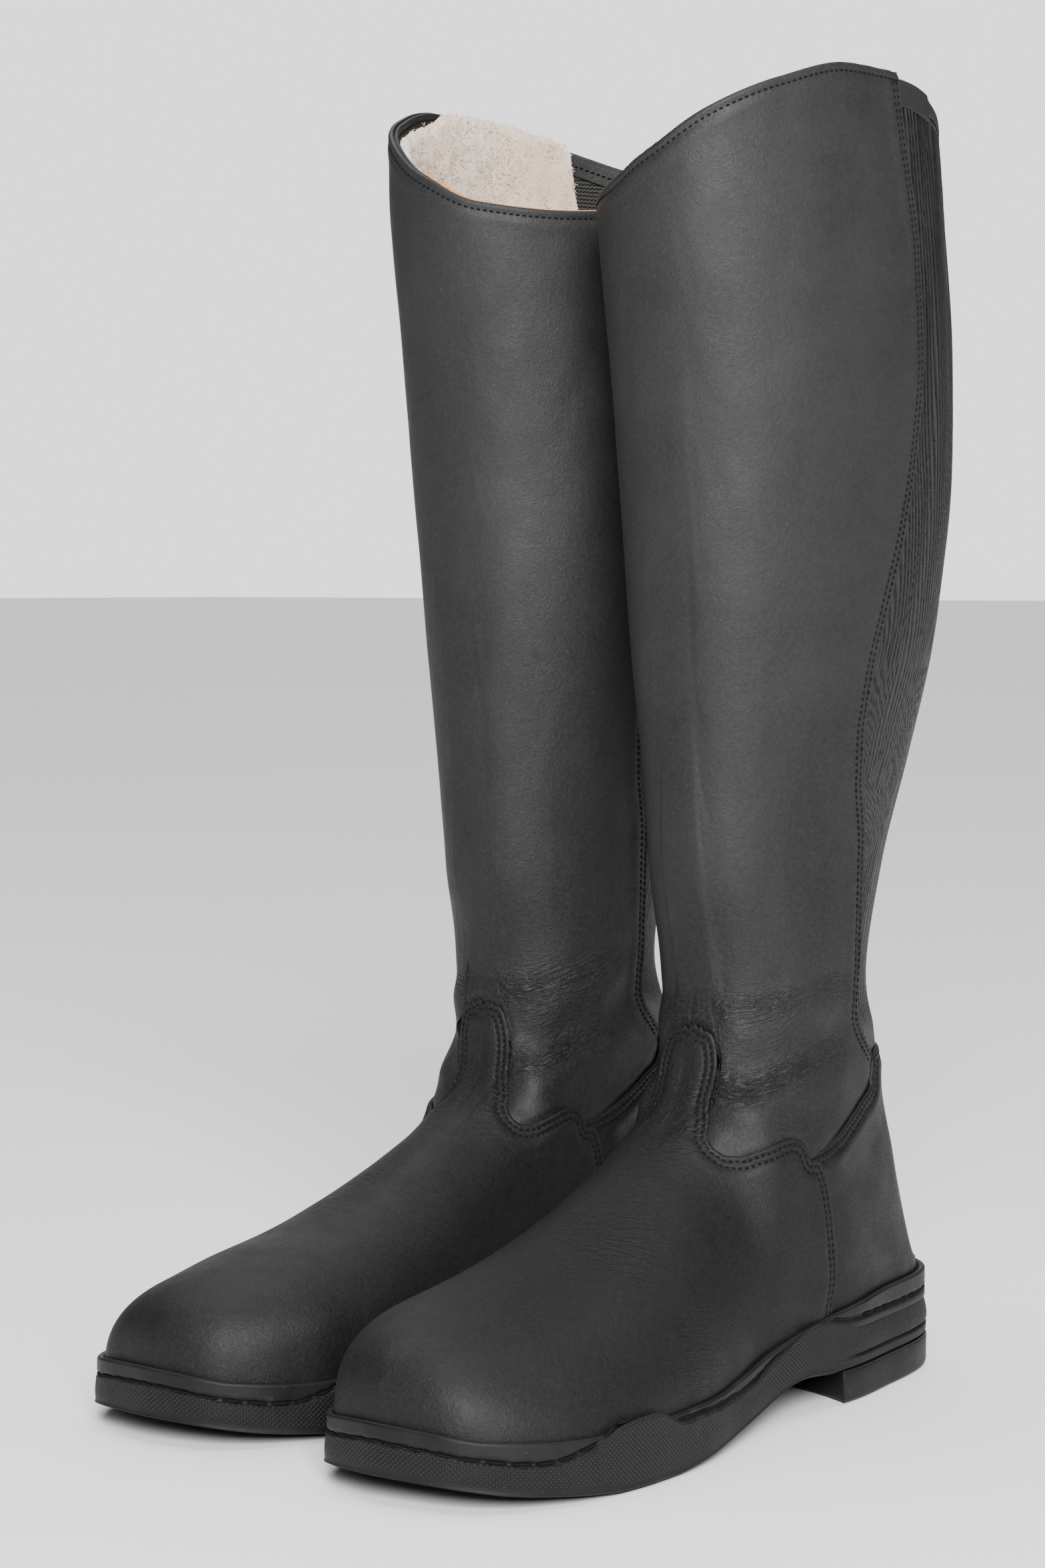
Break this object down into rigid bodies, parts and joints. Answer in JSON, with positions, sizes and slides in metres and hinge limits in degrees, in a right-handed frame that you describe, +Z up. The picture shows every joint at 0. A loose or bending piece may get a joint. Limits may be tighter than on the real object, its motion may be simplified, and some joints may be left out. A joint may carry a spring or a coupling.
{
  "type": "pair of tall riding boots",
  "caption": "Pair of knee-high black leather riding boots with fleece lining, a pleated stretch gusset up the back and moulded rubber soles with heel blocks",
  "frame": {"origin": "middle of the pair's box, on the floor under the soles", "axes": "+Z up the legs of the boots, -Y towards the toes, +X from the right boot to the left boot"},
  "size_m": [0.227, 0.3176, 0.4734],
  "materials": {
    "leg_leather": "matte black, waxed, fine grain",
    "vamp_leather": "black, slightly smoother",
    "counter_leather": "darker matte black",
    "stretch_leather": "glossy pleated black",
    "woven_elastic": "ribbed weave",
    "fleece": "cream pile",
    "sole_rubber": "moulded matte black",
    "welt_rubber": "smooth satin black",
    "fibre_board": "pressed fibre board",
    "spring_steel": "rolled"
  },
  "bodies": {
    "left_foot": {"left_outsole": "sole_rubber", "left_heel_block": "sole_rubber", "left_welt_strip": "welt_rubber", "left_forepart_filler": "fibre_board", "left_shank": "spring_steel", "left_insole_board": "fibre_board", "left_footbed": "fleece", "left_vamp": "vamp_leather", "left_heel_counter": "counter_leather", "left_ankle_panel": "leg_leather", "left_ankle_gusset": "stretch_leather", "left_foot_lining": "fleece", "left_ankle_lining": "fleece", "left_toe_puff": "fibre_board", "left_heel_stiffener": "fibre_board"},
    "left_leg": {"left_leg_panel": "leg_leather", "left_stretch_gusset": "stretch_leather", "left_gusset_elastic": "woven_elastic", "left_gusset_top_band": "leg_leather", "left_top_facing": "vamp_leather", "left_leg_lining": "fleece"},
    "right_foot": {"right_outsole": "sole_rubber", "right_heel_block": "sole_rubber", "right_welt_strip": "welt_rubber", "right_forepart_filler": "fibre_board", "right_shank": "spring_steel", "right_insole_board": "fibre_board", "right_footbed": "fleece", "right_vamp": "vamp_leather", "right_heel_counter": "counter_leather", "right_ankle_panel": "leg_leather", "right_ankle_gusset": "stretch_leather", "right_foot_lining": "fleece", "right_ankle_lining": "fleece", "right_toe_puff": "fibre_board", "right_heel_stiffener": "fibre_board"},
    "right_leg": {"right_leg_panel": "leg_leather", "right_stretch_gusset": "stretch_leather", "right_gusset_elastic": "woven_elastic", "right_gusset_top_band": "leg_leather", "right_top_facing": "vamp_leather", "right_leg_lining": "fleece"}
  },
  "joints": [
    {"name": "left_ankle_flex", "type": "hinge", "parent": "left_foot", "child": "left_leg", "pos_m": [0.053, 0.061, 0.165], "axis": [1, 0, 0], "range_deg": [-8, 12], "stiffness_Nm_per_rad": 8, "deforming": ["left_ankle_panel", "left_ankle_gusset", "left_ankle_lining"]},
    {"name": "right_boot_lift", "type": "slide", "parent": "left_foot", "child": "right_foot", "axis": [0, 0, 1], "range_m": [0, 0.25]},
    {"name": "right_ankle_flex", "type": "hinge", "parent": "right_foot", "child": "right_leg", "pos_m": [-0.053, 0.071, 0.165], "axis": [1, 0, 0], "range_deg": [-8, 12], "stiffness_Nm_per_rad": 8, "deforming": ["right_ankle_panel", "right_ankle_gusset", "right_ankle_lining"]}
  ]
}
